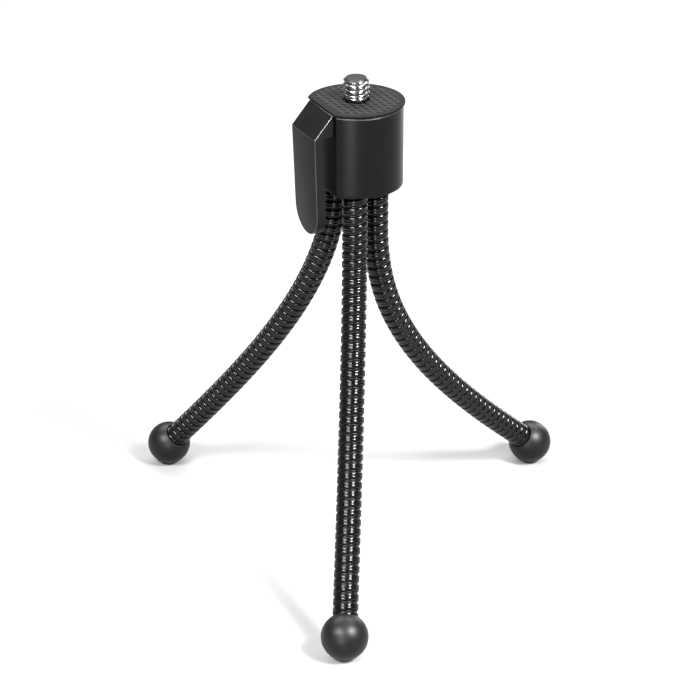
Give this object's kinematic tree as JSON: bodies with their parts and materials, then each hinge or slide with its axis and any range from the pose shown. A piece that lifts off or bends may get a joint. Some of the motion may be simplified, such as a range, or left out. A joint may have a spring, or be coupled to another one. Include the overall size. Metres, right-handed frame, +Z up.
{
  "type": "mini tripod",
  "caption": "Pocket mini tripod: round clip-on head with a camera screw and rubber pad on three flexible gooseneck legs with ball feet.",
  "frame": {"origin": "on the surface that the feet rest on, at the middle of their footprint", "axes": "+Z up along the camera screw; -Y towards the front leg; +X to the right when looking along +Y"},
  "size_m": [0.1096, 0.1122, 0.1243],
  "materials": {
    "head_metal": "dark anodised, satin",
    "clip_metal": "dark anodised, satin",
    "pad_rubber": "matte black with a fine raised pattern",
    "screw_metal": "bright nickel plate",
    "gooseneck": "black, glossy",
    "foot_rubber": "black, satin",
    "pin_steel": "plain, hidden inside"
  },
  "bodies": {
    "head": {"head_body": "head_metal", "clip": "clip_metal", "camera_pad": "pad_rubber", "camera_screw": "screw_metal", "leg_front_root": "gooseneck", "leg_front_root_pin": "pin_steel", "leg_left_root": "gooseneck", "leg_left_root_pin": "pin_steel", "leg_right_root": "gooseneck", "leg_right_root_pin": "pin_steel"},
    "front_link_1": {"leg_front_link_1": "gooseneck"},
    "front_link_2": {"leg_front_link_2": "gooseneck"},
    "front_link_3": {"leg_front_link_3": "gooseneck"},
    "front_link_4": {"leg_front_link_4": "gooseneck"},
    "front_link_5": {"leg_front_link_5": "gooseneck"},
    "front_link_6": {"leg_front_link_6": "gooseneck"},
    "front_link_7": {"leg_front_link_7": "gooseneck"},
    "front_link_8": {"leg_front_link_8": "gooseneck", "leg_front_tip_pin": "pin_steel", "leg_front_foot": "foot_rubber"},
    "left_link_1": {"leg_left_link_1": "gooseneck"},
    "left_link_2": {"leg_left_link_2": "gooseneck"},
    "left_link_3": {"leg_left_link_3": "gooseneck"},
    "left_link_4": {"leg_left_link_4": "gooseneck"},
    "left_link_5": {"leg_left_link_5": "gooseneck"},
    "left_link_6": {"leg_left_link_6": "gooseneck"},
    "left_link_7": {"leg_left_link_7": "gooseneck"},
    "left_link_8": {"leg_left_link_8": "gooseneck", "leg_left_tip_pin": "pin_steel", "leg_left_foot": "foot_rubber"},
    "right_link_1": {"leg_right_link_1": "gooseneck"},
    "right_link_2": {"leg_right_link_2": "gooseneck"},
    "right_link_3": {"leg_right_link_3": "gooseneck"},
    "right_link_4": {"leg_right_link_4": "gooseneck"},
    "right_link_5": {"leg_right_link_5": "gooseneck"},
    "right_link_6": {"leg_right_link_6": "gooseneck"},
    "right_link_7": {"leg_right_link_7": "gooseneck"},
    "right_link_8": {"leg_right_link_8": "gooseneck", "leg_right_tip_pin": "pin_steel", "leg_right_foot": "foot_rubber"}
  },
  "joints": [
    {"name": "leg_front_bend_1", "type": "hinge", "parent": "head", "child": "front_link_1", "pos_m": [0.00131, 0.00541, 0.0908], "axis": [-0.999, 0.0436, 0], "range_deg": [-3.8, 16.2]},
    {"name": "leg_front_side_1", "type": "hinge", "parent": "front_link_1", "child": "front_link_2", "pos_m": [0.00128, 0.00454, 0.07763], "axis": [-0.0427, -0.9785, 0.2016], "range_deg": [-20, 20]},
    {"name": "leg_front_bend_2", "type": "hinge", "parent": "front_link_2", "child": "front_link_3", "pos_m": [0.00108, 0.00015, 0.06518], "axis": [-0.999, 0.0436, 0], "range_deg": [-25.91, 9.8]},
    {"name": "leg_front_bend_3", "type": "hinge", "parent": "front_link_3", "child": "front_link_4", "pos_m": [0.0008, -0.00639, 0.05372], "axis": [-0.999, 0.0436, 0], "range_deg": [-6.69, 13.3]},
    {"name": "leg_front_bend_4", "type": "hinge", "parent": "front_link_4", "child": "front_link_5", "pos_m": [0.00046, -0.01421, 0.04309], "axis": [-0.999, 0.0436, 0], "range_deg": [-4.37, 15.6]},
    {"name": "leg_front_side_2", "type": "hinge", "parent": "front_link_5", "child": "front_link_6", "pos_m": [0.00008, -0.02282, 0.03309], "axis": [-0.0323, -0.7403, 0.6715], "range_deg": [-20, 20]},
    {"name": "leg_front_bend_5", "type": "hinge", "parent": "front_link_6", "child": "front_link_7", "pos_m": [-0.00032, -0.03192, 0.02353], "axis": [-0.999, 0.0436, 0], "range_deg": [-4.72, 18.1]},
    {"name": "leg_front_bend_6", "type": "hinge", "parent": "front_link_7", "child": "front_link_8", "pos_m": [-0.00073, -0.04132, 0.01428], "axis": [-0.999, 0.0436, 0], "range_deg": [-1.19, 18.8]},
    {"name": "leg_left_bend_1", "type": "hinge", "parent": "head", "child": "left_link_1", "pos_m": [-0.00332, 0.01396, 0.0908], "axis": [0.6157, 0.788, 0], "range_deg": [-15.43, 4.6]},
    {"name": "leg_left_side_1", "type": "hinge", "parent": "left_link_1", "child": "left_link_2", "pos_m": [-0.00609, 0.01612, 0.07808], "axis": [-0.7382, 0.5768, 0.3498], "range_deg": [-20, 20]},
    {"name": "leg_left_bend_2", "type": "hinge", "parent": "left_link_2", "child": "left_link_3", "pos_m": [-0.01057, 0.01962, 0.06616], "axis": [0.6157, 0.788, 0], "range_deg": [-16.67, 13.4]},
    {"name": "leg_left_bend_3", "type": "hinge", "parent": "left_link_3", "child": "left_link_4", "pos_m": [-0.0161, 0.02394, 0.05498], "axis": [0.6157, 0.788, 0], "range_deg": [-4.3, 15.7]},
    {"name": "leg_left_bend_4", "type": "hinge", "parent": "left_link_4", "child": "left_link_5", "pos_m": [-0.02227, 0.02876, 0.04436], "axis": [0.6157, 0.788, 0], "range_deg": [-2.81, 17.2]},
    {"name": "leg_left_side_2", "type": "hinge", "parent": "left_link_5", "child": "left_link_6", "pos_m": [-0.02885, 0.0339, 0.03413], "axis": [-0.6025, 0.4707, 0.6445], "range_deg": [-20, 20]},
    {"name": "leg_left_bend_5", "type": "hinge", "parent": "left_link_6", "child": "left_link_7", "pos_m": [-0.03568, 0.03924, 0.02417], "axis": [0.6157, 0.788, 0], "range_deg": [-3.03, 18.8]},
    {"name": "leg_left_bend_6", "type": "hinge", "parent": "left_link_7", "child": "left_link_8", "pos_m": [-0.04267, 0.0447, 0.0144], "axis": [0.6157, 0.788, 0], "range_deg": [-0.75, 19.2]},
    {"name": "leg_right_bend_1", "type": "hinge", "parent": "head", "child": "right_link_1", "pos_m": [0.00655, 0.01396, 0.0908], "axis": [0.6508, -0.7593, 0], "range_deg": [0, 20]},
    {"name": "leg_right_side_1", "type": "hinge", "parent": "right_link_1", "child": "right_link_2", "pos_m": [0.00655, 0.01396, 0.0776], "axis": [0.7537, 0.646, 0.1208], "range_deg": [-20, 20]},
    {"name": "leg_right_bend_2", "type": "hinge", "parent": "right_link_2", "child": "right_link_3", "pos_m": [0.00895, 0.01602, 0.06478], "axis": [0.6508, -0.7593, 0], "range_deg": [-27.45, 6.4]},
    {"name": "leg_right_bend_3", "type": "hinge", "parent": "right_link_3", "child": "right_link_4", "pos_m": [0.01357, 0.01998, 0.05307], "axis": [0.6508, -0.7593, 0], "range_deg": [-8.87, 11.1]},
    {"name": "leg_right_bend_4", "type": "hinge", "parent": "right_link_4", "child": "right_link_5", "pos_m": [0.01951, 0.02507, 0.04244], "axis": [0.6508, -0.7593, 0], "range_deg": [-5.8, 14.2]},
    {"name": "leg_right_side_2", "type": "hinge", "parent": "right_link_5", "child": "right_link_6", "pos_m": [0.02623, 0.03083, 0.03265], "axis": [0.5461, 0.468, 0.6948], "range_deg": [-20, 20]},
    {"name": "leg_right_bend_5", "type": "hinge", "parent": "right_link_6", "child": "right_link_7", "pos_m": [0.03343, 0.037, 0.02346], "axis": [0.6508, -0.7593, 0], "range_deg": [-6.26, 17.5]},
    {"name": "leg_right_bend_6", "type": "hinge", "parent": "right_link_7", "child": "right_link_8", "pos_m": [0.04092, 0.04342, 0.01469], "axis": [0.6508, -0.7593, 0], "range_deg": [-1.65, 18.3]}
  ]
}
